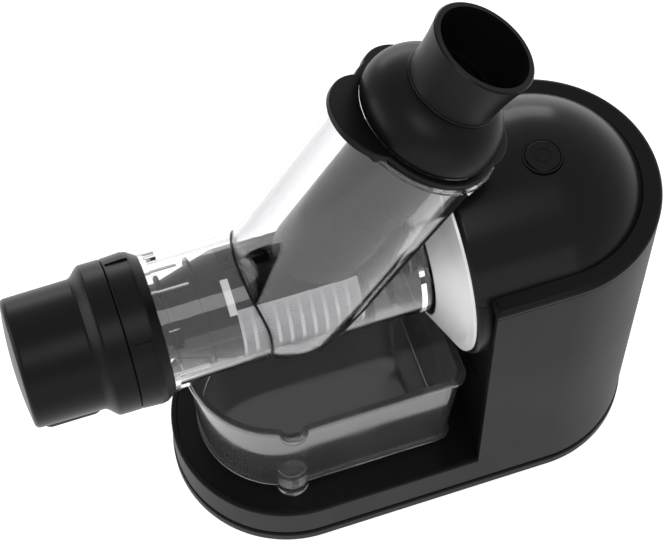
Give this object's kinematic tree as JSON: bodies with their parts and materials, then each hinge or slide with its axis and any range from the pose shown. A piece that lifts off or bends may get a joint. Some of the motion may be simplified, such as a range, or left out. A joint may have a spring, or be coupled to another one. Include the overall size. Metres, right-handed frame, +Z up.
{
  "type": "cold press juicer",
  "caption": "Horizontal cold press juicer: racetrack base, motor tower, clear barrel with auger, leaning feed chute with flared pusher, pulp cap, silver cone and juice container.",
  "frame": {"origin": "centre of the racetrack base, on the surface that the feet stand on", "axes": "+X along the base towards the motor tower, +Z up, -Y towards the user"},
  "size_m": [0.3689, 0.1414, 0.3863],
  "materials": {
    "black_satin": "satin black moulded plastic",
    "black_matte": "fine matte black moulded plastic",
    "black_gloss": "glossy black plastic",
    "dark_inner": "plain dark plastic",
    "silver": "satin silver metal",
    "steel": "machined steel",
    "iron": "dark motor casing",
    "copper_board": "circuit board",
    "clear": "clear plastic",
    "smoke": "smoked clear plastic",
    "rubber": "black rubber",
    "seal": "grey silicone"
  },
  "bodies": {
    "housing": {"base_plate": "black_matte", "rubber_feet": "rubber", "base_screws": "steel", "main_housing": "black_matte", "deck_tray": "black_satin", "column_front": "black_satin", "shoulder_band": "black_satin", "head_cover": "black_gloss", "front_collar": "black_satin", "cone_shroud": "silver", "hub_socket": "dark_inner", "gear_plates": "iron", "plate_spacers": "steel", "plate_screws": "steel", "shaft_bearings": "steel", "idler_shaft": "steel", "motor_can": "iron", "button_bezel": "black_gloss", "power_switch": "dark_inner", "button_spring": "steel", "control_board": "copper_board", "cable_gland": "rubber"},
    "output_drive": {"output_shaft": "steel", "output_gear": "steel"},
    "idler": {"idler_gears": "steel"},
    "rotor": {"motor_rotor": "steel", "motor_pinion": "steel", "motor_fan": "dark_inner"},
    "button": {"power_button": "black_gloss"},
    "barrel": {"juicing_barrel": "clear", "chute_flange": "black_satin", "strainer": "dark_inner", "barrel_seal": "seal"},
    "auger": {"auger": "dark_inner"},
    "lock_ring": {"lock_ring": "black_satin"},
    "cap": {"end_cap": "black_satin", "cap_seal": "seal"},
    "pusher": {"pusher_mouth": "black_satin", "pusher_dome": "black_satin", "pusher_tube": "dark_inner"},
    "container": {"juice_container": "smoke"}
  },
  "joints": [
    {"name": "output_spin", "type": "hinge", "parent": "housing", "child": "output_drive", "pos_m": [0.05, 0, 0.1944], "axis": [1, 0, 0], "continuous": true},
    {"name": "idler_spin", "type": "hinge", "parent": "housing", "child": "idler", "pos_m": [0.055, 0, 0.1344], "axis": [1, 0, 0], "continuous": true},
    {"name": "motor_spin", "type": "hinge", "parent": "housing", "child": "rotor", "pos_m": [0.095, 0, 0.0894], "axis": [1, 0, 0], "continuous": true},
    {"name": "barrel_pull", "type": "slide", "parent": "housing", "child": "barrel", "axis": [-1, 0, 0], "range_m": [0, 0.21]},
    {"name": "auger_spin", "type": "hinge", "parent": "barrel", "child": "auger", "pos_m": [-0.08, 0, 0.1944], "axis": [1, 0, 0], "continuous": true},
    {"name": "lock_turn", "type": "hinge", "parent": "barrel", "child": "lock_ring", "pos_m": [-0.155, 0, 0.1944], "axis": [1, 0, 0], "range_deg": [0, 30]},
    {"name": "cap_pull", "type": "slide", "parent": "barrel", "child": "cap", "axis": [-1, 0, 0], "range_m": [0, 0.07]},
    {"name": "pusher_lift", "type": "slide", "parent": "barrel", "child": "pusher", "axis": [0.509, 0, 0.8607], "range_m": [0, 0.125]},
    {"name": "button_press", "type": "slide", "parent": "housing", "child": "button", "axis": [0, 0, -1], "range_m": [0, 0.002], "stiffness_N_per_m": 400, "deforming": ["button_spring"]},
    {"name": "container_pull", "type": "slide", "parent": "housing", "child": "container", "axis": [0, -0.9979, 0.0649], "range_m": [0, 0.15]}
  ],
  "couplings": [
    {"joint": "idler_spin", "follows": "output_spin", "ratio": -4},
    {"joint": "motor_spin", "follows": "output_spin", "ratio": 16},
    {"joint": "auger_spin", "follows": "output_spin", "ratio": 1}
  ]
}
